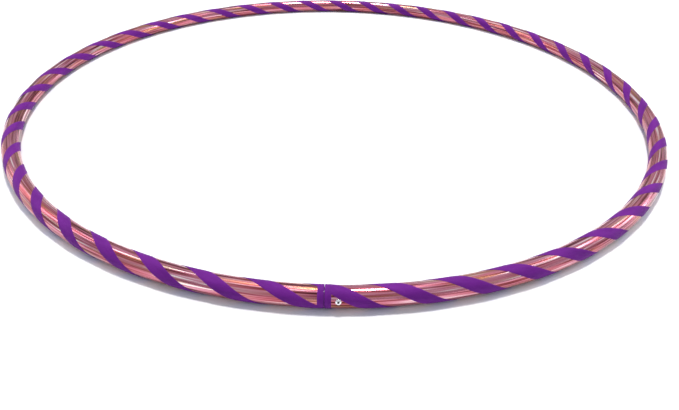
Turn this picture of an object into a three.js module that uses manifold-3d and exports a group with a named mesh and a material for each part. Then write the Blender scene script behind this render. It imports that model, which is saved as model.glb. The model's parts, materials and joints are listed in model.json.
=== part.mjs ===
// A collapsible hoop for rhythmic gymnastics and hoop dance.
//
// A plastic tube is bent into a circle. It is covered with mirror film, and two strips of grip tape
// are wound round it side by side, like the stripes of a barber's pole. Its two cut ends meet at the
// front, over a shorter connector tube. A blind rivet fixes the connector in the right end, and a
// sprung snap button locks the left end on it.
//
// Millimetres, +Z up. The hoop lies flat. The origin is the middle of the hoop, on the floor, and the
// joint between the cut ends is at -Y. An angle round the hoop starts at -Y and grows towards +X. An
// angle round the tube starts at the outermost line and grows upwards.
//
// A springy tube has no hinges of its own, so the circle is made as five links. Each link end is a
// place where the bending of a quarter of the hoop is gathered.

import * as THREE from 'three';
import { mergeVertices } from 'three/addons/utils/BufferGeometryUtils.js';
import Module from 'manifold-3d';

const wasm = await Module();
wasm.setup();

const { degToRad, euclideanModulo, lerp } = THREE.MathUtils;

// The circle.
const RING_RADIUS = 471.5;
const STATION_ANGLE = degToRad(5);
const LINK_GAP = 1.1;
const SEAM_GAP = 1.2;

// Every section is a polygon with a flat side down. These are the distances from the tube's
// middle line to the flat sides of each layer.
const SECTION_SIDES = 12;
const GRIP = { outer: 11.55, inner: 11.3 };
const FILM = { outer: 10.95, inner: 10.75 };
const TUBE = { outer: 10.7, inner: 8.9 };
const CONNECTOR = { outer: 8.25, inner: 6.7 };

// The two strips of grip tape. Along the top of the hoop, turns of one strip and of the other come
// by in turn. Stripe n is at START + SPACING * n round the hoop, give or take the drift of a strip
// that is laid by hand.
const GRIP_WIDTH = 12.7;
const STRIPS = ['a', 'b'];
const STRIPE_START = degToRad(5.44);
const STRIPE_SPACING = degToRad(7.957);
const FIRST_STRIPE = -2;
const DRIFTS = [
  { size: degToRad(3), stripes: 58, phase: degToRad(114.6) },
  { size: degToRad(1), stripes: 19.5, phase: degToRad(70.8) },
];

// The joint between the cut ends.
const BAND_WIDTH = 6.3;
const CONNECTOR_REACH = 45;
const RIVET_DISTANCE = 13.2;
const BUTTON_DISTANCE = 18;
const RIVET_TILT = degToRad(14);
const RIVET_SHANK_RADIUS = 1.6;
const BUTTON_RADIUS = 3.4;
const FASTENER_CLEARANCE = 0.3;
const SPRING_WIDTH = 8;
const SPRING_THICKNESS = 0.6;

const LINKS = [
  { name: 'back', from: degToRad(135), to: degToRad(225) },
  { name: 'right_side', from: degToRad(45), to: degToRad(135) },
  { name: 'right_front', from: 0, to: degToRad(45) },
  { name: 'left_side', from: degToRad(225), to: degToRad(315) },
  { name: 'left_front', from: degToRad(315), to: degToRad(360) },
];

const tubePlastic = new THREE.MeshStandardMaterial({ color: 0x2b2a2d, roughness: 0.45, metalness: 0 });
const mirrorFilm = new THREE.MeshStandardMaterial({ color: 0xd98a7c, roughness: 0.12, metalness: 1 });
const gripCloth = new THREE.MeshStandardMaterial({ color: 0x5e1a8c, roughness: 0.85, metalness: 0 });
const rivetAluminium = new THREE.MeshStandardMaterial({ color: 0xd9dade, roughness: 0.25, metalness: 1 });
const mandrelSteel = new THREE.MeshStandardMaterial({ color: 0x7c7d80, roughness: 0.4, metalness: 1 });
const springSteel = new THREE.MeshStandardMaterial({ color: 0x9fa2a6, roughness: 0.3, metalness: 1 });
const buttonNickel = new THREE.MeshStandardMaterial({ color: 0xc9cacd, roughness: 0.2, metalness: 1 });

// The middle line of a stretch of the tube.
class RingArc extends THREE.Curve {
  constructor(from, to) {
    super();
    this.from = from;
    this.to = to;
  }

  getPoint(t, target = new THREE.Vector3()) {
    const angle = lerp(this.from, this.to, t);
    return target.set(RING_RADIUS * Math.sin(angle), -RING_RADIUS * Math.cos(angle), 0);
  }

  getTangent(t, target = new THREE.Vector3()) {
    const angle = lerp(this.from, this.to, t);
    return target.set(Math.cos(angle), Math.sin(angle), 0);
  }
}

const cornerRadius = (flatDistance) => flatDistance / Math.cos(Math.PI / SECTION_SIDES);

function sectionOutline(flatDistance) {
  const points = [];
  for (let side = 0; side < SECTION_SIDES; side += 1) {
    const angle = ((side + 0.5) * 2 * Math.PI) / SECTION_SIDES;
    const radius = cornerRadius(flatDistance);
    points.push(new THREE.Vector2(radius * Math.cos(angle), radius * Math.sin(angle)));
  }
  return points;
}

// A hollow stretch of the ring, with flat ends that face along the tube.
function sleeve(layer, from, to, steps) {
  const section = new THREE.Shape(sectionOutline(layer.outer));
  section.holes.push(new THREE.Path(sectionOutline(layer.inner)));
  const extrudePath = new RingArc(from, to);
  return new THREE.ExtrudeGeometry(section, { steps, extrudePath, bevelEnabled: false });
}

function toSolid(geometry) {
  const bare = geometry.clone();
  bare.deleteAttribute('normal');
  bare.deleteAttribute('uv');
  const merged = mergeVertices(bare, 1e-4);
  const vertProperties = new Float32Array(merged.attributes.position.array);
  const triVerts = new Uint32Array(merged.index.array);
  return new wasm.Manifold(new wasm.Mesh({ numProp: 3, vertProperties, triVerts }));
}

function toGeometry(solid) {
  const { vertProperties, triVerts } = solid.getMesh();
  const geometry = new THREE.BufferGeometry();
  geometry.setAttribute('position', new THREE.BufferAttribute(vertProperties, 3));
  geometry.setIndex(new THREE.BufferAttribute(triVerts, 1));
  geometry.computeVertexNormals();
  return geometry;
}

// The angles at which the solids of a link begin and end, inside its gaps.
function linkSpan(link) {
  const halfGap = LINK_GAP / 2 / RING_RADIUS;
  const halfSeam = SEAM_GAP / 2 / RING_RADIUS;
  const from = link.from + (link.from === 0 ? halfSeam : halfGap);
  const to = link.to - (link.to === 2 * Math.PI ? halfSeam : halfGap);
  const steps = Math.round((link.to - link.from) / STATION_ANGLE);
  return { from, to, steps };
}

// Turns the place (angle round the hoop, angle round the tube, distance from the tube's middle) into
// a point. The ring of a link is a polygon, and the point follows that polygon's straight sides.
function wrapPoint(span, ringAngle, tubeAngle, distance) {
  const side = (span.to - span.from) / span.steps;
  const withinSide = euclideanModulo(ringAngle - span.from, side);
  const towardsChord = Math.cos(side / 2) / Math.cos(withinSide - side / 2);
  const reach = (RING_RADIUS + distance * Math.cos(tubeAngle)) * towardsChord;
  return new THREE.Vector3(
    reach * Math.sin(ringAngle),
    -reach * Math.cos(ringAngle),
    distance * Math.sin(tubeAngle),
  );
}

// Cuts out the stretch of a solid that lies between two angles round the hoop.
function keepBetween(solid, from, to) {
  const margin = 30;
  const shape = new THREE.Shape();
  shape.absarc(0, 0, RING_RADIUS + margin, from - Math.PI / 2, to - Math.PI / 2, false);
  shape.absarc(0, 0, RING_RADIUS - margin, to - Math.PI / 2, from - Math.PI / 2, true);
  const sector = new THREE.ExtrudeGeometry(shape, {
    depth: 2 * margin,
    curveSegments: 8,
    bevelEnabled: false,
  });
  sector.translate(0, 0, -margin);
  return solid.intersect(toSolid(sector));
}

// Where stripe n is round the hoop. Between whole numbers, it is the same strip on its way round the
// tube: two stripes further is one turn.
function stripeAngle(n) {
  let angle = STRIPE_START + STRIPE_SPACING * n;
  for (const { size, stripes, phase } of DRIFTS) {
    angle += size * Math.cos((2 * Math.PI * n) / stripes + phase);
  }
  return angle;
}

// Splits each cell of a box's +Z face along its other diagonal, as the -Z face is split seen from
// the same side. On a wound strip these are the short diagonals.
function splitShortWay(box) {
  const { start, count } = box.groups[4];
  const { index } = box;
  for (let i = start; i < start + count; i += 6) {
    const [a, b, c, d] = [index.getX(i), index.getX(i + 1), index.getX(i + 4), index.getX(i + 2)];
    [a, b, c, a, c, d].forEach((vertex, offset) => index.setX(i + offset, vertex));
  }
}

// One link's length of a strip, wound round it and trimmed to the given angles.
function gripStrip(span, strip, from, to) {
  const stripesPerTurn = STRIPS.length;
  let start = FIRST_STRIPE;
  while (stripeAngle(start + stripesPerTurn) < from - STATION_ANGLE) start += 1;
  let turns = 1;
  while (stripeAngle(start + stripesPerTurn * turns) < to + STATION_ANGLE) turns += 1;

  const box = new THREE.BoxGeometry(1, 1, 1, turns * SECTION_SIDES, 2, 1);
  splitShortWay(box);
  const pitch = stripesPerTurn * STRIPE_SPACING * RING_RADIUS;
  const slope = Math.atan2(pitch, 2 * Math.PI * GRIP.inner);
  const widthRound = GRIP_WIDTH / Math.cos(slope) / RING_RADIUS;
  const position = box.attributes.position;
  for (let i = 0; i < position.count; i += 1) {
    const turn = (position.getX(i) + 0.5) * turns + 0.5 / SECTION_SIDES;
    const stripe = start + stripesPerTurn * turn;
    const ringAngle = stripeAngle(stripe) + position.getY(i) * widthRound;
    const tubeAngle = (2 * Math.PI * (strip - stripe)) / stripesPerTurn;
    const layer = position.getZ(i) > 0 ? GRIP.outer : GRIP.inner;
    const point = wrapPoint(span, ringAngle, tubeAngle, cornerRadius(layer));
    position.setXYZ(i, point.x, point.y, point.z);
  }
  return keepBetween(toSolid(box), from, to);
}

// A drill through one wall, from the tube's middle outwards along the mesh's own +Y.
function drill(radius, matrix) {
  const reach = 16;
  const cylinder = new THREE.CylinderGeometry(radius, radius, reach, 16);
  cylinder.translate(0, reach / 2 + 1, 0);
  cylinder.applyMatrix4(matrix);
  return toSolid(cylinder);
}

// The place of a fastener on the tube: its +Y points outwards from the tube's middle line.
function fastenerMatrix(ringAngle, tubeAngle) {
  const along = new THREE.Matrix4().makeRotationZ(ringAngle);
  const outwards = new THREE.Matrix4().makeTranslation(0, -RING_RADIUS, 0);
  const tilt = new THREE.Matrix4().makeRotationX(Math.PI - tubeAngle);
  return along.multiply(outwards).multiply(tilt);
}

const rivetMatrix = fastenerMatrix(RIVET_DISTANCE / RING_RADIUS, RIVET_TILT);
const buttonMatrix = fastenerMatrix(-BUTTON_DISTANCE / RING_RADIUS, Math.PI);
const rivetDrill = drill(RIVET_SHANK_RADIUS + FASTENER_CLEARANCE, rivetMatrix);
const buttonDrill = drill(BUTTON_RADIUS + FASTENER_CLEARANCE, buttonMatrix);

const drills = { right_front: rivetDrill, left_front: buttonDrill };

const lathe = (points, segments) =>
  new THREE.LatheGeometry(points.map(([radius, height]) => new THREE.Vector2(radius, height)), segments);

// Points of a quarter-round crown from its rim to the middle, rising by height.
function crown(radius, base, height, count) {
  const points = [];
  for (let i = 0; i <= count; i += 1) {
    const angle = (i / count) * (Math.PI / 2);
    points.push([radius * Math.cos(angle), base + height * Math.sin(angle)]);
  }
  return points;
}

// The rivet's hollow body: a domed head on the film, a shank and the bulb that grips inside.
function rivetBody() {
  const headRadius = 2.9;
  const headBase = 11.25;
  const headHeight = 1.1;
  const boreRadius = 0.95;
  const bulbRadius = 2.3;
  const bulbTop = 6.2;
  const bulbBottom = 4.4;
  const dome = crown(headRadius, headBase, headHeight, 6);
  const outerDome = dome.filter(([radius]) => radius > boreRadius + 0.2);
  return lathe(
    [
      [boreRadius, bulbBottom],
      [bulbRadius - 0.6, bulbBottom],
      [bulbRadius, (bulbTop + bulbBottom) / 2],
      [bulbRadius - 0.5, bulbTop],
      [RIVET_SHANK_RADIUS, bulbTop + 0.15],
      [RIVET_SHANK_RADIUS, headBase],
      ...outerDome,
      [boreRadius, headBase + headHeight - 0.25],
      [boreRadius, bulbBottom],
    ],
    16,
  );
}

// The rivet's mandrel: the pin left broken off in the bore, with its head behind the bulb.
function rivetMandrel() {
  const pinRadius = 0.65;
  const headRadius = 1.35;
  return lathe(
    [
      [0, 2.6],
      [headRadius, 2.8],
      [headRadius, 3.8],
      [pinRadius, 4.1],
      [pinRadius, 10.9],
      [0, 11.2],
    ],
    12,
  );
}

// The snap button: a round pin with a crowned top and a flange that stays inside the connector.
function snapButton() {
  const flangeRadius = 4.4;
  const flangeBase = 3.9;
  const flangeTop = 4.7;
  const crownBase = 12;
  const crownHeight = 1.4;
  return lathe(
    [
      [0, flangeBase],
      [flangeRadius, flangeBase],
      [flangeRadius, flangeTop],
      [BUTTON_RADIUS, flangeTop],
      ...crown(BUTTON_RADIUS, crownBase, crownHeight, 5),
    ],
    20,
  );
}

// The hairpin leaf spring behind the button. Its outline lies in the plane of the hoop.
function snapSpring() {
  const bendX = 20;
  const bendY = -2.6;
  const bendRadius = 1.7;
  const line = [new THREE.Vector2(-4.6, 3.3), new THREE.Vector2(4.6, 3.3)];
  const bendSteps = 6;
  for (let i = 0; i <= bendSteps; i += 1) {
    const angle = Math.PI / 2 - (i / bendSteps) * Math.PI;
    const x = bendX + bendRadius * Math.cos(angle);
    line.push(new THREE.Vector2(x, bendY + bendRadius * Math.sin(angle)));
  }
  line.push(new THREE.Vector2(-4.6, -4.6));
  const sideOf = (index, offset) => {
    const before = line[Math.max(index - 1, 0)];
    const after = line[Math.min(index + 1, line.length - 1)];
    const direction = after.clone().sub(before).normalize();
    return line[index].clone().add(new THREE.Vector2(-direction.y, direction.x).multiplyScalar(offset));
  };
  const indices = line.map((point, index) => index);
  const outside = indices.map((index) => sideOf(index, SPRING_THICKNESS / 2));
  const inside = indices.map((index) => sideOf(index, -SPRING_THICKNESS / 2)).reverse();
  const geometry = new THREE.ExtrudeGeometry(new THREE.Shape([...outside, ...inside]), {
    depth: SPRING_WIDTH,
    bevelEnabled: false,
  });
  geometry.translate(0, 0, -SPRING_WIDTH / 2);
  return geometry;
}

const ring = new THREE.Group();
ring.position.z = GRIP.outer;

function addPiece(name, geometry, material) {
  const mesh = new THREE.Mesh(geometry, material);
  mesh.name = name;
  ring.add(mesh);
  return mesh;
}

function addFastener(name, geometry, material, matrix) {
  const mesh = addPiece(name, geometry, material);
  matrix.decompose(mesh.position, mesh.quaternion, mesh.scale);
}

for (const link of LINKS) {
  const span = linkSpan(link);
  const cut = drills[link.name];
  const drilled = (solid) => toGeometry(cut ? solid.subtract(cut) : solid);
  const tube = toSolid(sleeve(TUBE, span.from, span.to, span.steps));
  const film = toSolid(sleeve(FILM, span.from, span.to, span.steps));
  addPiece(`tube_${link.name}`, drilled(tube), tubePlastic);
  addPiece(`mirror_film_${link.name}`, drilled(film), mirrorFilm);

  const bandAngle = (BAND_WIDTH + FASTENER_CLEARANCE) / RING_RADIUS;
  const gripFrom = link.name === 'right_front' ? span.from + bandAngle : span.from;
  const gripTo = link.name === 'left_front' ? span.to - bandAngle : span.to;
  STRIPS.forEach((letter, strip) => {
    const wound = gripStrip(span, strip, gripFrom, gripTo);
    addPiece(`grip_tape_${letter}_${link.name}`, drilled(wound), gripCloth);
  });
}

const bandStart = SEAM_GAP / 2 / RING_RADIUS;
const bandEnd = bandStart + BAND_WIDTH / RING_RADIUS;
addPiece('end_band_right', sleeve(GRIP, bandStart, bandEnd, 1), gripCloth);
addPiece('end_band_left', sleeve(GRIP, -bandEnd, -bandStart, 1), gripCloth);

const connectorAngle = CONNECTOR_REACH / RING_RADIUS;
const connectorTube = toSolid(sleeve(CONNECTOR, -connectorAngle, connectorAngle, 6));
const connectorDrilled = connectorTube.subtract(rivetDrill).subtract(buttonDrill);
addPiece('connector_tube', toGeometry(connectorDrilled), tubePlastic);

addFastener('rivet_body', rivetBody(), rivetAluminium, rivetMatrix);
addFastener('rivet_mandrel', rivetMandrel(), mandrelSteel, rivetMatrix);
addFastener('snap_spring', snapSpring(), springSteel, buttonMatrix);
addFastener('snap_button', snapButton(), buttonNickel, buttonMatrix);

const hoop = new THREE.Group();
hoop.add(ring);

export default hoop;
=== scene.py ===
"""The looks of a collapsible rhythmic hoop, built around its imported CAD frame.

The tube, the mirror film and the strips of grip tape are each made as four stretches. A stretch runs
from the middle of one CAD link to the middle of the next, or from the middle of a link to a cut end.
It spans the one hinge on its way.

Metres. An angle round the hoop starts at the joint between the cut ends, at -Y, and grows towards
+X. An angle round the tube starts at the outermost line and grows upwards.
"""

import json
import math
import random

import bmesh
import bpy
import numpy as np
from mathutils import Matrix, Vector


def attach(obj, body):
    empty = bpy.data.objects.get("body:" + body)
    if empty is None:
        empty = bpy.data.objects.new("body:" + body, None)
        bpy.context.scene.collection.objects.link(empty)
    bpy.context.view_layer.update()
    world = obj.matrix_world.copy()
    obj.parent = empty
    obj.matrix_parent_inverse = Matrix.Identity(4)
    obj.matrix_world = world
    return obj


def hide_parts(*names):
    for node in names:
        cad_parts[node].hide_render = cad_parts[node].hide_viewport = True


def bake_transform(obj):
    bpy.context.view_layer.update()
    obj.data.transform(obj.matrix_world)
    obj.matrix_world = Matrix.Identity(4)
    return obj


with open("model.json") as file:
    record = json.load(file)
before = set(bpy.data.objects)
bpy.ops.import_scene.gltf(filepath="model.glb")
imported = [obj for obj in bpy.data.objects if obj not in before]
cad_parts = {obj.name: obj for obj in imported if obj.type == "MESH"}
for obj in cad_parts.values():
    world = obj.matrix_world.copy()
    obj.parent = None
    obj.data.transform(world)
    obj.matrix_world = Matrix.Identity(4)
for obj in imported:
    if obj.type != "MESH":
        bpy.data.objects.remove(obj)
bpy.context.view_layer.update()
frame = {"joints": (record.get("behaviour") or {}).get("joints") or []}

MM = 0.001
TURN = 2 * math.pi

# The frame gives the circle: its hinges lie on the middle line of the tube.
hinge = next(joint for joint in frame["joints"] if joint["name"] == "hoop_opening")["pos_m"]
RING = math.hypot(hinge[0], hinge[1])
LIFT = hinge[2]

# Radii of the round layers.
TUBE_INNER = 9.0 * MM
TUBE_OUTER = 11.1 * MM
FILM_INNER = TUBE_OUTER + 0.02 * MM
FILM_OUTER = 11.22 * MM
TAPE_OUTER = 11.54 * MM
CONNECTOR_INNER = 6.95 * MM
CONNECTOR_OUTER = 8.75 * MM
CONNECTOR_REACH = 45 * MM

# How finely the round layers are divided, round the tube and along it.
SLEEVE_SIDES = 56
STRETCH_STEP = 5 * MM
CONNECTOR_STEP = 0.75 * MM

# The joint between the cut ends.
SEAM_HALF = 0.25 * MM
BAND_WIDTH = 6.3 * MM
STRIP_END = 0.7 * BAND_WIDTH
RIVET_DISTANCE = 13.2 * MM
RIVET_TILT = math.radians(14)
RIVET_HOLE = 1.7 * MM
BUTTON_DISTANCE = 18 * MM
BUTTON_HOLE = 3.75 * MM

# A hole is drilled between two heights over the tube's middle line, so through one wall only.
LAYER_DRILL = (4 * MM, 14 * MM)
CONNECTOR_DRILL = (3 * MM, 12 * MM)

# The two strips of grip tape, as in the CAD model. Along the top of the hoop, turns of one strip and
# of the other come by in turn. A drift is (size, stripes per wave, phase).
GRIP_WIDTH = 12.7 * MM
STRIPS = ["a", "b"]
STRIPE_START = math.radians(5.44)
STRIPE_SPACING = math.radians(7.957)
DRIFTS = [
    (math.radians(3), 58, math.radians(114.6)),
    (math.radians(1), 19.5, math.radians(70.8)),
]

# Each stretch: name, angles, and the bodies at its two ends.
STRETCHES = [
    ("right_front", 0, 90, "right_front", "right_side"),
    ("right_back", 90, 180, "right_side", "back_arc"),
    ("left_back", 180, 270, "back_arc", "left_side"),
    ("left_front", 270, 360, "left_side", "left_front"),
]

# The CAD links that each stretch stands for.
REPLACED = {
    "right_front": ["right_front"],
    "right_back": ["right_side"],
    "left_back": ["back", "left_side"],
    "left_front": ["left_front"],
}


# ---------------------------------------------------------------- places

def place(ring_angle, tube_angle, distance):
    """Points on the round tube, for arrays of angles and distances from its middle line."""
    reach = RING + distance * np.cos(tube_angle)
    x = reach * np.sin(ring_angle)
    y = -reach * np.cos(ring_angle)
    z = LIFT + distance * np.sin(tube_angle)
    return np.stack(np.broadcast_arrays(x, y, z), axis=-1)


def middle_point(ring_angle):
    return Vector((RING * math.sin(ring_angle), -RING * math.cos(ring_angle), LIFT))


def fastener_matrix(ring_angle, tube_angle):
    """+Z points outwards from the tube's middle line, and +X runs along the tube."""
    outwards = Vector(place(ring_angle, tube_angle, 1.0)) - Vector(place(ring_angle, tube_angle, 0.0))
    along = Vector((math.cos(ring_angle), math.sin(ring_angle), 0))
    across = outwards.normalized().cross(along)
    matrix = Matrix((along, across, outwards.normalized())).transposed().to_4x4()
    matrix.translation = middle_point(ring_angle)
    return matrix


RIVET_PLACE = fastener_matrix(RIVET_DISTANCE / RING, RIVET_TILT)
BUTTON_PLACE = fastener_matrix(-BUTTON_DISTANCE / RING, math.pi)


# ---------------------------------------------------------------- meshes

def make_object(name, points, faces, material, smooth=True):
    mesh = bpy.data.meshes.new(name)
    mesh.from_pydata([tuple(p) for p in points], [], faces)
    mesh.validate()
    mesh.materials.append(material)
    mesh.polygons.foreach_set("use_smooth", [smooth] * len(mesh.polygons))
    piece = bpy.data.objects.new(name, mesh)
    bpy.context.scene.collection.objects.link(piece)
    return piece


def grid_faces(rows, columns, close_rows=False, flip=False):
    """Quads between neighbouring rows of points, where each row is a closed loop."""
    faces = []
    for row in range(rows if close_rows else rows - 1):
        for column in range(columns):
            after = (column + 1) % columns
            below = (row + 1) % rows
            quad = (
                row * columns + column,
                row * columns + after,
                below * columns + after,
                below * columns + column,
            )
            faces.append(quad[::-1] if flip else quad)
    return faces


def set_vectors(piece, name, values):
    attribute = piece.data.attributes.new(name, "FLOAT_VECTOR", "POINT")
    attribute.data.foreach_set("vector", np.asarray(values, dtype=np.float32).ravel())


def straightened(ring_angle, tube_angle, distance):
    """The same points with the ring opened out into a straight tube, for the patterns."""
    length = ring_angle * RING
    y = distance * np.cos(tube_angle)
    z = distance * np.sin(tube_angle)
    return np.stack(np.broadcast_arrays(length, y, z), axis=-1)


def sleeve(name, outer, inner, start, end, step, material):
    """A hollow stretch of tube. Its outer and inner radius are functions of the share of its length."""
    stations = round((end - start) * RING / step) + 1
    shares = np.linspace(0, 1, stations)
    loop = [(start + (end - start) * share, outer(share)) for share in shares]
    loop += [(start + (end - start) * share, inner(share)) for share in shares[::-1]]
    ring_angles = np.array([ring_angle for ring_angle, radius in loop])[:, None]
    radii = np.array([radius for ring_angle, radius in loop])[:, None]
    tube_angles = (np.arange(SLEEVE_SIDES) * TURN / SLEEVE_SIDES)[None, :]
    points = place(ring_angles, tube_angles, radii).reshape(-1, 3)
    faces = grid_faces(len(loop), SLEEVE_SIDES, close_rows=True)
    piece = make_object(name, points, faces, material)
    set_vectors(piece, "straight", straightened(ring_angles, tube_angles, radii).reshape(-1, 3))
    mark_sharp(piece, 40)
    return piece


def mark_sharp(piece, degrees):
    """Keeps the crisp edges of a smooth-shaded piece."""
    mesh = bmesh.new()
    mesh.from_mesh(piece.data)
    bmesh.ops.recalc_face_normals(mesh, faces=mesh.faces)
    limit = math.radians(degrees)
    for edge in mesh.edges:
        edge.smooth = len(edge.link_faces) == 2 and edge.calc_face_angle() < limit
    mesh.to_mesh(piece.data)
    mesh.free()


def even(radius):
    """The same radius all along a length."""
    return lambda share: radius


def rounded_ends(radius, length, bevel):
    """A radius that dips at both ends of a length, as a worn or cut edge does."""
    def at(share):
        distance = min(share, 1 - share) * length
        if distance >= bevel:
            return radius
        return radius - (bevel - math.sqrt(bevel * bevel - (bevel - distance) ** 2)) * 0.8
    return at


def lathe(name, profile, place_matrix, material, segments):
    """A turned piece from (radius, height) points, with its axis along the matrix's +Z."""
    points = []
    for radius, height in profile:
        for segment in range(segments):
            angle = TURN * segment / segments
            points.append(Vector((radius * math.cos(angle), radius * math.sin(angle), height)))
    points = [place_matrix @ p for p in points]
    faces = grid_faces(len(profile), segments, flip=True)
    piece = make_object(name, points, faces, material)
    mesh = bmesh.new()
    mesh.from_mesh(piece.data)
    bmesh.ops.remove_doubles(mesh, verts=mesh.verts, dist=1e-7)
    bmesh.ops.recalc_face_normals(mesh, faces=mesh.faces)
    mesh.to_mesh(piece.data)
    mesh.free()
    mark_sharp(piece, 35)
    return piece


def arc_points(centre, radius, start, end, count):
    angles = [math.radians(start + (end - start) * i / count) for i in range(count + 1)]
    return [(centre[0] + radius * math.cos(a), centre[1] + radius * math.sin(a)) for a in angles]


def cut_round_hole(piece, radius, place_matrix, heights):
    """Drills a piece between two heights on the matrix's +Z."""
    bottom, top = heights
    profile = [(0, bottom), (radius, bottom), (radius, top), (0, top)]
    cutter = lathe("cutter", profile, place_matrix, piece.data.materials[0], segments=40)
    modifier = piece.modifiers.new("hole", "BOOLEAN")
    modifier.operation = "DIFFERENCE"
    modifier.object = cutter
    modifier.solver = "EXACT"
    evaluated = piece.evaluated_get(bpy.context.evaluated_depsgraph_get())
    mesh = bpy.data.meshes.new_from_object(evaluated)
    piece.modifiers.clear()
    piece.data = mesh
    bpy.data.objects.remove(cutter)
    mark_sharp(piece, 40)


# ---------------------------------------------------------------- the strips of grip tape

def stripe_angle(number):
    """Where a stripe is round the hoop. Between whole numbers, a strip is on its way round the tube."""
    angle = STRIPE_START + STRIPE_SPACING * number
    for size, stripes, phase in DRIFTS:
        angle = angle + size * np.cos(TURN * number / stripes + phase)
    return angle


def stripe_at(ring_angle):
    """The stripe number at an angle round the hoop, read from numbers that reach past both ends."""
    numbers = np.arange(-4, 50, 0.01)
    return float(np.interp(ring_angle, stripe_angle(numbers), numbers))


def strip_section():
    """The strip's section: (share across the width, height on the film), a closed loop."""
    thickness = TAPE_OUTER - FILM_OUTER
    edge = 0.012
    top = [(-0.5, 0.35), (-0.5 + edge, 0.8), (-0.5 + 2.5 * edge, 0.97), (-0.25, 1.0), (0, 1.0)]
    top += [(-across, height) for across, height in top[-2::-1]]
    bottom = [(0.5, -0.1), (-0.5, -0.1)]
    return [(across, height * thickness) for across, height in top + bottom]


def wander(numbers, seed, size):
    """A slow sideways drift of the hand-laid strip, in metres."""
    chance = random.Random(seed)
    total = np.zeros_like(numbers)
    for rate in (0.21, 0.47, 0.83, 1.9):
        phase = chance.random() * TURN
        total += np.sin(numbers * rate * TURN + phase) / (1 + 2 * rate)
    return total * size


def grip_strip(name, strip, first, last, material):
    """A strip from one stripe number to another, which is half a turn round the tube for each."""
    rows_per_stripe = 30
    rows = round((last - first) * rows_per_stripe) + 1
    numbers = np.linspace(first, last, rows)[:, None]
    section = strip_section()
    across = np.array([a for a, _ in section])[None, :]
    heights = np.array([h for _, h in section])[None, :]
    pitch = len(STRIPS) * STRIPE_SPACING * RING
    slope = math.atan2(pitch, TURN * FILM_OUTER)
    sideways = wander(numbers, 3 + strip, 0.10 * MM)
    widening = np.sign(across) * wander(numbers, 8 + strip, 0.08 * MM)
    offset = (across * GRIP_WIDTH + (sideways + widening)) / math.cos(slope)
    ring_angles = stripe_angle(numbers) + offset / RING
    tube_angles = TURN * (strip - numbers) / len(STRIPS)
    distance = FILM_OUTER + heights
    points = place(ring_angles, tube_angles, distance).reshape(-1, 3)
    columns = len(section)
    faces = grid_faces(rows, columns)
    faces.append(tuple(range(columns)))
    faces.append(tuple(range((rows - 1) * columns, rows * columns))[::-1])
    piece = make_object(name, points, faces, material)
    run = numbers / len(STRIPS) * math.hypot(TURN * FILM_OUTER, pitch)
    weave = np.stack(np.broadcast_arrays(run, across * GRIP_WIDTH, heights), axis=-1)
    set_vectors(piece, "weave", weave.reshape(-1, 3))
    mark_sharp(piece, 50)
    return piece


def trim(piece, ring_angle, keep_above):
    """Cuts a piece off square at an angle round the hoop."""
    normal = Vector((math.cos(ring_angle), math.sin(ring_angle), 0))
    reach = 100 * MM
    mesh = bmesh.new()
    mesh.from_mesh(piece.data)
    near = [v for v in mesh.verts if (v.co - middle_point(ring_angle)).length < reach]
    region = set(near)
    edges = [e for e in mesh.edges if e.verts[0] in region and e.verts[1] in region]
    faces = [f for f in mesh.faces if all(v in region for v in f.verts)]
    cut = bmesh.ops.bisect_plane(
        mesh,
        geom=near + edges + faces,
        plane_co=middle_point(ring_angle),
        plane_no=normal,
        clear_inner=keep_above,
        clear_outer=not keep_above,
    )
    rim = [e for e in cut["geom_cut"] if isinstance(e, bmesh.types.BMEdge)]
    bmesh.ops.holes_fill(mesh, edges=rim, sides=0)
    bmesh.ops.recalc_face_normals(mesh, faces=mesh.faces)
    mesh.to_mesh(piece.data)
    mesh.free()
    mark_sharp(piece, 50)


# ---------------------------------------------------------------- materials

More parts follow.
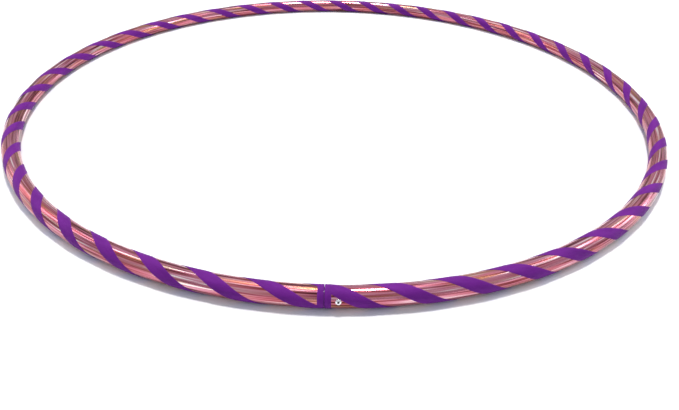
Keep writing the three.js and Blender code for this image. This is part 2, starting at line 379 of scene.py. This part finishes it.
class Nodes:
    """A short way to write a node tree."""

    def __init__(self, name):
        self.material = bpy.data.materials.new(name)
        self.material.use_nodes = True
        self.tree = self.material.node_tree
        self.shader = self.tree.nodes["Principled BSDF"]

    def add(self, kind, inputs=None, **settings):
        node = self.tree.nodes.new(kind)
        for key, value in settings.items():
            setattr(node, key, value)
        for key, value in (inputs or {}).items():
            self.put(node.inputs[key], value)
        return node

    def put(self, socket, value):
        if isinstance(value, bpy.types.NodeSocket):
            self.tree.links.new(value, socket)
        else:
            socket.default_value = value

    def attribute(self, name):
        return self.add("ShaderNodeAttribute", attribute_name=name).outputs["Vector"]

    def stretch(self, vector, scale, offset=(0, 0, 0)):
        inputs = {"Vector": vector, "Scale": scale, "Location": offset}
        return self.add("ShaderNodeMapping", inputs).outputs["Vector"]

    def noise(self, vector, scale, detail, roughness=0.5):
        inputs = {"Vector": vector, "Scale": scale, "Detail": detail, "Roughness": roughness}
        return self.add("ShaderNodeTexNoise", inputs).outputs["Fac"]

    def ramp(self, value, stops):
        node = self.add("ShaderNodeValToRGB", {"Fac": value})
        ramp = node.color_ramp
        while len(ramp.elements) < len(stops):
            ramp.elements.new(0.5)
        for element, (position, colour) in zip(ramp.elements, stops):
            element.position = position
            element.color = (*colour, 1)
        return node.outputs["Color"]

    def level(self, value, low, high, to_low=0.0, to_high=1.0):
        inputs = {"Value": value, "From Min": low, "From Max": high}
        inputs.update({"To Min": to_low, "To Max": to_high})
        return self.add("ShaderNodeMapRange", inputs).outputs["Result"]

    def maths(self, operation, a, b=0.0):
        return self.add("ShaderNodeMath", {0: a, 1: b}, operation=operation).outputs["Value"]

    def mix(self, share, a, b, blend_type="MIX"):
        node = self.add("ShaderNodeMix", data_type="RGBA", blend_type=blend_type)
        self.put(node.inputs["Factor"], share)
        self.put(node.inputs["A"], a)
        self.put(node.inputs["B"], b)
        return node.outputs["Result"]

    def bump(self, height, strength, distance, normal=None):
        inputs = {"Height": height, "Strength": strength, "Distance": distance}
        if normal is not None:
            inputs["Normal"] = normal
        return self.add("ShaderNodeBump", inputs).outputs["Normal"]

    def finish(self, **sockets):
        for key, value in sockets.items():
            self.put(self.shader.inputs[key.replace("_", " ")], value)
        return self.material


def mirror_film_material():
    """Rose-gold metallised film with fine lengthwise wrinkles that break its reflections up, and
    painted reflections in its colour: lengthwise streaks from near-black to a cream painted highlight,
    with gold streaks.
    """
    look = Nodes("mirror_film")
    straight = look.attribute("straight")
    fine = look.noise(look.stretch(straight, (9, 480, 480)), 1.0, 2.0, 0.6)
    broad = look.noise(look.stretch(straight, (11, 190, 190), (5, 2, 7)), 1.0, 1.0, 0.5)
    patches = look.noise(look.stretch(straight, (14, 30, 30), (1, 8, 3)), 1.0, 1.0)
    # Painted reflection: the colour's lengthwise streaks, from near-black and dark rose through salmon
    # to a cream painted highlight, stand for surroundings mirrored in the film.
    painted_reflection_streaks = look.ramp(
        fine,
        [
            (0.35, (0.05, 0.006, 0.008)),
            (0.42, (0.21, 0.037, 0.045)),
            (0.47, (0.50, 0.150, 0.200)),
            (0.55, (0.60, 0.225, 0.300)),
            (0.61, (0.74, 0.350, 0.430)),
            (0.67, (1.00, 0.860, 0.820)),
        ],
    )
    # Gold streaks of painted reflection are mixed in; the deeper rose patches vary at random.
    painted_gold_reflection_share = look.level(broad, 0.56, 0.70)
    painted_reflections_with_gold = look.mix(look.maths("MULTIPLY", painted_gold_reflection_share, 0.6), painted_reflection_streaks, (0.55, 0.30, 0.10, 1))
    rose_share = look.level(patches, 0.42, 0.66, 0.0, 0.45)
    colour = look.mix(rose_share, painted_reflections_with_gold, (0.52, 0.10, 0.12, 1))
    ridges = look.bump(fine, 0.45, 0.5 * MM)
    dents = look.bump(broad, 0.30, 0.8 * MM, ridges)
    rough = look.level(patches, 0.3, 0.7, 0.16, 0.30)
    return look.finish(Base_Color=colour, Metallic=0.92, Roughness=rough, Normal=dents)


def grip_cloth_material():
    """Purple cotton gaffer tape: a fine plain weave under a matte coating."""
    look = Nodes("grip_cloth")
    run = look.attribute("weave")
    thread = 0.42 * MM
    parts = look.add("ShaderNodeSeparateXYZ", {"Vector": run})
    warp = look.maths("SINE", look.maths("MULTIPLY", parts.outputs["X"], math.pi / thread))
    weft = look.maths("SINE", look.maths("MULTIPLY", parts.outputs["Y"], math.pi / thread))
    cloth = look.maths("MULTIPLY", warp, weft)
    slub = look.noise(look.stretch(run, (260, 1400, 1400)), 1.0, 2.0)
    cloud = look.noise(look.stretch(run, (38, 60, 60)), 1.0, 2.0)
    dust = look.noise(run, 900, 1.0)
    base = look.ramp(
        cloud,
        [(0.25, (0.100, 0.005, 0.170)), (0.5, (0.130, 0.008, 0.210)), (0.75, (0.155, 0.012, 0.245))],
    )
    threads = look.level(cloth, -1, 1, 0.86, 1.08)
    grey = look.add("ShaderNodeCombineColor", {0: threads, 1: threads, 2: threads}).outputs["Color"]
    shaded = look.mix(1.0, base, grey, "MULTIPLY")
    faded = look.mix(look.level(dust, 0.62, 0.85, 0.0, 0.25), shaded, (0.26, 0.07, 0.34, 1))
    weave_bump = look.bump(cloth, 0.35, 0.08 * MM)
    slub_bump = look.bump(slub, 0.25, 0.10 * MM, weave_bump)
    rough = look.level(slub, 0.3, 0.7, 0.62, 0.80)
    return look.finish(
        Base_Color=faded,
        Roughness=rough,
        Normal=slub_bump,
        Specular_IOR_Level=0.15,
        Sheen_Weight=0.06,
        Sheen_Roughness=0.4,
        Sheen_Tint=(0.9, 0.4, 1.0, 1),
    )


def tube_plastic_material():
    """Black polyethylene with faint lengthwise extrusion lines."""
    look = Nodes("tube_plastic")
    straight = look.attribute("straight")
    lines = look.noise(look.stretch(straight, (4, 900, 900)), 1.0, 2.0)
    speck = look.noise(straight, 1500, 2.0)
    colour = look.ramp(speck, [(0.3, (0.018, 0.017, 0.020)), (0.7, (0.034, 0.032, 0.036))])
    rough = look.level(lines, 0.3, 0.7, 0.34, 0.52)
    return look.finish(Base_Color=colour, Roughness=rough, Normal=look.bump(lines, 0.25, 0.05 * MM))


def metal_material(name, low, high, roughness):
    """Plated or bare metal with fine handling scratches."""
    look = Nodes(name)
    where = look.add("ShaderNodeTexCoord").outputs["Object"]
    scratches = look.noise(look.stretch(where, (2700, 2700, 300)), 1.0, 3.0)
    cloud = look.noise(where, 400, 2.0)
    colour = look.ramp(cloud, [(0.3, low), (0.7, high)])
    rough = look.level(scratches, 0.3, 0.7, roughness * 0.7, roughness * 1.4)
    bump = look.bump(scratches, 0.15, 0.02 * MM)
    return look.finish(Base_Color=colour, Metallic=1.0, Roughness=rough, Normal=bump)


FILM = mirror_film_material()
CLOTH = grip_cloth_material()
PLASTIC = tube_plastic_material()
ALUMINIUM = metal_material("rivet_aluminium", (0.80, 0.80, 0.82), (0.93, 0.93, 0.95), 0.20)
# Steel for the rivet's mandrel, its colour darkened well below plain steel as painted shade down in the
# rivet's bore.
MANDREL_STEEL_AND_SHADE = metal_material("mandrel_steel", (0.10, 0.10, 0.11), (0.20, 0.20, 0.21), 0.42)
SPRING = metal_material("spring_steel", (0.40, 0.40, 0.42), (0.56, 0.56, 0.58), 0.28)
NICKEL = metal_material("button_nickel", (0.66, 0.66, 0.67), (0.80, 0.79, 0.77), 0.16)


# ---------------------------------------------------------------- the hoop

def blend_stretch(piece):
    """Bakes a stretch's transform into its mesh, without bending it between the links at its two ends.
    """
    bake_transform(piece)


def make_layers():
    """The tube, the film and the strips. At a cut end a strip is made too long and cut off square."""
    for name, low, high, first_body, last_body in STRETCHES:
        start, end = math.radians(low), math.radians(high)
        at_rivet = low == 0
        at_button = high == 360
        begins = start + (SEAM_HALF / RING if at_rivet else 0)
        ends = end - (SEAM_HALF / RING if at_button else 0)

        radii = (even(TUBE_OUTER), even(TUBE_INNER))
        tube = sleeve(f"tube_{name}_stretch", *radii, begins, ends, STRETCH_STEP, PLASTIC)
        radii = (even(FILM_OUTER), even(FILM_INNER))
        film = sleeve(f"mirror_film_{name}_stretch", *radii, begins, ends, STRETCH_STEP, FILM)
        for piece in (tube, film):
            if at_rivet:
                cut_round_hole(piece, RIVET_HOLE, RIVET_PLACE, LAYER_DRILL)
            if at_button:
                cut_round_hole(piece, BUTTON_HOLE, BUTTON_PLACE, LAYER_DRILL)

        layers = [("tube", tube, "tube_plastic"), ("mirror_film", film, "mirror_film")]
        first_stripe = stripe_at(begins) - (0.5 if at_rivet else 0)
        last_stripe = stripe_at(ends) + (0.5 if at_button else 0)
        for strip, letter in enumerate(STRIPS):
            layer = f"grip_tape_{letter}"
            tape = grip_strip(f"{layer}_{name}_stretch", strip, first_stripe, last_stripe, CLOTH)
            if at_rivet:
                trim(tape, begins + STRIP_END / RING, keep_above=True)
            if at_button:
                trim(tape, ends - STRIP_END / RING, keep_above=False)
                cut_round_hole(tape, BUTTON_HOLE, BUTTON_PLACE, LAYER_DRILL)
            layers.append((layer, tape, "grip_cloth"))

        for layer, piece, slot in layers:
            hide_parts(*[f"{layer}_{link}" for link in REPLACED[name]])
            blend_stretch(piece)


def band(name, start, end, body, node):
    """A short turn of tape round a cut end, with the step where it overlaps itself."""
    sides = 96
    stations = 9
    share = np.linspace(0, 1, stations)
    length = (end - start) * RING
    edge = rounded_ends(0.0, length, 0.25 * MM)
    tube_angles = np.arange(sides) * TURN / sides
    overlap_from, overlap_to = math.radians(205), math.radians(243)
    on_overlap = (tube_angles > overlap_from) & (tube_angles < overlap_to)
    outside = np.where(on_overlap, FILM_OUTER + 0.62 * MM, FILM_OUTER + 0.36 * MM)
    rows = [outside + edge(s) for s in share]
    rows += [np.full(sides, FILM_OUTER + 0.01 * MM) for s in share]
    along = np.concatenate([share, share[::-1]]) * (end - start) + start
    radii = np.array(rows)
    points = place(along[:, None], tube_angles[None, :], radii).reshape(-1, 3)
    piece = make_object(name, points, grid_faces(2 * stations, sides, close_rows=True), CLOTH)
    across = (along[:, None] - start) * RING - length / 2
    girth = tube_angles[None, :] * FILM_OUTER
    weave = np.stack(np.broadcast_arrays(girth, across, radii - FILM_OUTER), axis=-1)
    set_vectors(piece, "weave", weave.reshape(-1, 3))
    mark_sharp(piece, 50)
    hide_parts(node)
    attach(piece, body)


def make_bands():
    begins = SEAM_HALF / RING
    ends = begins + BAND_WIDTH / RING
    band("end_band_right_wrap", begins, ends, "right_front", "end_band_right")
    band("end_band_left_wrap", TURN - ends, TURN - begins, "left_front", "end_band_left")


def make_connector():
    reach = CONNECTOR_REACH / RING
    length = 2 * CONNECTOR_REACH
    radii = (rounded_ends(CONNECTOR_OUTER, length, 0.8 * MM), even(CONNECTOR_INNER))
    piece = sleeve("connector_sleeve", *radii, -reach, reach, CONNECTOR_STEP, PLASTIC)
    cut_round_hole(piece, RIVET_HOLE, RIVET_PLACE, CONNECTOR_DRILL)
    cut_round_hole(piece, BUTTON_HOLE, BUTTON_PLACE, CONNECTOR_DRILL)
    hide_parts("connector_tube")
    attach(piece, "right_front")


def make_rivet():
    """A domed blind rivet: the head has a sunk bore, with the broken mandrel down in it."""
    base = FILM_OUTER + 0.03 * MM
    head_radius, head_height, bore, shank = 2.95 * MM, 1.15 * MM, 1.15 * MM, 1.58 * MM
    dome = [
        (head_radius * math.cos(a), base + 0.12 * MM + head_height * math.sin(a))
        for a in np.linspace(0, math.radians(64), 14)
    ]
    lip_height = dome[-1][1]
    profile = [
        (shank, 6.1 * MM),
        (shank, base),
        (head_radius * 0.97, base),
        *dome,
        (bore + 0.08 * MM, lip_height + 0.015 * MM),
        (bore, lip_height - 0.06 * MM),
        (bore, 4.3 * MM),
        (1.7 * MM, 4.25 * MM),
        *arc_points((1.55 * MM, 5.25 * MM), 0.95 * MM, -60, 60, 8),
        (shank, 6.1 * MM),
    ]
    body = lathe("rivet_sleeve", profile, RIVET_PLACE, ALUMINIUM, segments=72)
    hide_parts("rivet_body")
    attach(body, "right_front")

    pin = [
        (0, 2.6 * MM),
        (1.2 * MM, 2.65 * MM),
        (1.4 * MM, 3.0 * MM),
        (1.35 * MM, 3.8 * MM),
        (0.82 * MM, 4.15 * MM),
        (0.82 * MM, 10.85 * MM),
        (0.6 * MM, 11.0 * MM),
        (0.45 * MM, 10.92 * MM),
        (0.2 * MM, 11.12 * MM),
        (0, 11.1 * MM),
    ]
    # The pin's dark colour is partly painted shade in the rivet's bore.
    mandrel = lathe("rivet_pin", pin, RIVET_PLACE, MANDREL_STEEL_AND_SHADE, segments=40)
    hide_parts("rivet_mandrel")
    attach(mandrel, "right_front")


def make_button():
    """The snap button: a plated round pin with a soft crown, and its flange inside."""
    radius, top, crown = 3.4 * MM, 13.4 * MM, 1.1 * MM
    rim = arc_points((radius - crown, top - crown), crown, 0, 78, 12)
    profile = [
        (0, 3.9 * MM),
        (4.1 * MM, 3.9 * MM),
        (4.4 * MM, 4.05 * MM),
        (4.4 * MM, 4.55 * MM),
        (4.2 * MM, 4.7 * MM),
        (radius + 0.25 * MM, 4.7 * MM),
        (radius, 4.95 * MM),
        *rim,
        (1.2 * MM, top + 0.01 * MM),
        (0, top + 0.02 * MM),
    ]
    button = lathe("snap_button_pin", profile, BUTTON_PLACE, NICKEL, segments=72)
    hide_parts("snap_button")
    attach(button, "snap_button")


def make_spring():
    """The hairpin leaf behind the button."""
    width, thickness = 8 * MM, 0.6 * MM

    # The bent line of the leaf, in millimetres along the tube and outwards.
    line = [(-4.8, 3.2), (-2.4, 3.3), (0, 3.3), (2.4, 3.3), (4.8, 3.2)]
    line += [(7.5, 2.6), (11, 1.55), (15, 0.3), (18, -0.55)]
    line += arc_points((20, -2.5), 1.75, 85, -85, 12)
    line += [(15, -4.6), (8, -4.75), (0, -4.75), (-4.8, -4.6)]
    count = len(line)
    points = []
    for index, (x, y) in enumerate(line):
        before, after = line[max(index - 1, 0)], line[min(index + 1, count - 1)]
        along = Vector((after[0] - before[0], after[1] - before[1])).normalized()
        side = Vector((-along.y, along.x)) * thickness / 2
        end_share = min(index, count - 1 - index)
        half = width / 2 * (0.78 if end_share == 0 else 1.0)
        for sign, edge in ((1, 1), (1, -1), (-1, -1), (-1, 1)):
            corner = Vector((x * MM + side.x * sign, edge * half, y * MM + side.y * sign))
            points.append(BUTTON_PLACE @ corner)
    faces = grid_faces(count, 4)
    faces += [(0, 1, 2, 3), tuple(range(4 * count - 4, 4 * count))[::-1]]
    piece = make_object("snap_spring_leaf", points, faces, SPRING)
    mark_sharp(piece, 40)
    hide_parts("snap_spring")
    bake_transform(piece)


make_layers()
make_bands()
make_connector()
make_rivet()
make_button()
make_spring()


# ---------------------------------------------------------------- the studio

def make_floor():
    look = Nodes("floor_paper")
    where = look.add("ShaderNodeTexCoord").outputs["Object"]
    grain = look.noise(where, 60, 3.0)
    colour = look.ramp(grain, [(0.3, (0.86, 0.865, 0.87)), (0.7, (0.90, 0.905, 0.91))])
    material = look.finish(Base_Color=colour, Roughness=0.7)
    half = 9.0
    points = [(-half, -half, 0), (half, -half, 0), (half, half, 0), (-half, half, 0)]
    floor = make_object("floor", points, [(0, 1, 2, 3)], material, smooth=False)


def area_light(name, place_at, aim, size, power, colour=(1, 1, 1)):
    data = bpy.data.lights.new(name, "AREA")
    data.shape = "RECTANGLE"
    data.size, data.size_y = size
    data.energy = power
    data.color = colour
    light = bpy.data.objects.new(name, data)
    bpy.context.scene.collection.objects.link(light)
    light.location = place_at
    direction = Vector(aim) - Vector(place_at)
    light.rotation_euler = direction.to_track_quat("-Z", "Y").to_euler()


def make_world():
    """A pale sky that brightens from the horizon upwards."""
    world = bpy.data.worlds.new("studio")
    world.use_nodes = True
    background = world.node_tree.nodes["Background"]
    background.inputs["Strength"].default_value = 0.7
    nodes, links = world.node_tree.nodes, world.node_tree.links
    where = nodes.new("ShaderNodeTexCoord")
    height = nodes.new("ShaderNodeSeparateXYZ")
    sky = nodes.new("ShaderNodeValToRGB")
    sky.color_ramp.elements[0].position = 0.0
    sky.color_ramp.elements[0].color = (0.55, 0.56, 0.60, 1)
    sky.color_ramp.elements[1].position = 0.55
    sky.color_ramp.elements[1].color = (0.86, 0.91, 1.0, 1)
    links.new(where.outputs["Generated"], height.inputs["Vector"])
    links.new(height.outputs["Z"], sky.inputs["Fac"])
    links.new(sky.outputs["Color"], background.inputs["Color"])
    bpy.context.scene.world = world


def make_lights():
    area_light("overhead_box", (0.1, 1.3, 6.0), (0, 0, 0), (0.8, 0.8), 290, (1.0, 0.98, 0.95))
    area_light("left_strip", (-1.7, 0.4, 1.3), (0, 0, 0), (0.35, 2.2), 10)
    area_light("right_strip", (1.7, 0.2, 1.1), (0, 0, 0), (0.3, 2.0), 10)


# The camera stands in front of the hoop and above it. Distances are in ring radii, angles in radians
# and the focal length in widths of the picture.
CAMERA_ASIDE = 0.0343
CAMERA_BACK = 1.9199
CAMERA_HEIGHT = 0.8498
CAMERA_DOWN = 0.5974
CAMERA_YAW = -0.0086
CAMERA_ROLL = 0.0224
FOCAL_WIDTHS = 0.9022


def make_camera():
    data = bpy.data.cameras.new("camera")
    data.sensor_fit = "HORIZONTAL"
    data.sensor_width = 36
    data.lens = FOCAL_WIDTHS * data.sensor_width
    data.clip_start = 0.01
    data.clip_end = 50
    camera = bpy.data.objects.new("camera", data)
    bpy.context.scene.collection.objects.link(camera)
    ahead = Vector((
        math.sin(CAMERA_YAW) * math.cos(CAMERA_DOWN),
        math.cos(CAMERA_YAW) * math.cos(CAMERA_DOWN),
        -math.sin(CAMERA_DOWN),
    ))
    level = Vector((math.cos(CAMERA_YAW), -math.sin(CAMERA_YAW), 0))
    upright = level.cross(ahead)
    right = level * math.cos(CAMERA_ROLL) + upright * math.sin(CAMERA_ROLL)
    up = upright * math.cos(CAMERA_ROLL) - level * math.sin(CAMERA_ROLL)
    matrix = Matrix((right, up, -ahead)).transposed().to_4x4()
    offset = Vector((CAMERA_ASIDE, -CAMERA_BACK, CAMERA_HEIGHT)) * RING
    matrix.translation = offset + Vector((0, 0, LIFT))
    camera.matrix_world = matrix
    bpy.context.scene.camera = camera


make_floor()
make_world()
make_lights()
make_camera()
bpy.context.scene.view_settings.view_transform = "Standard"
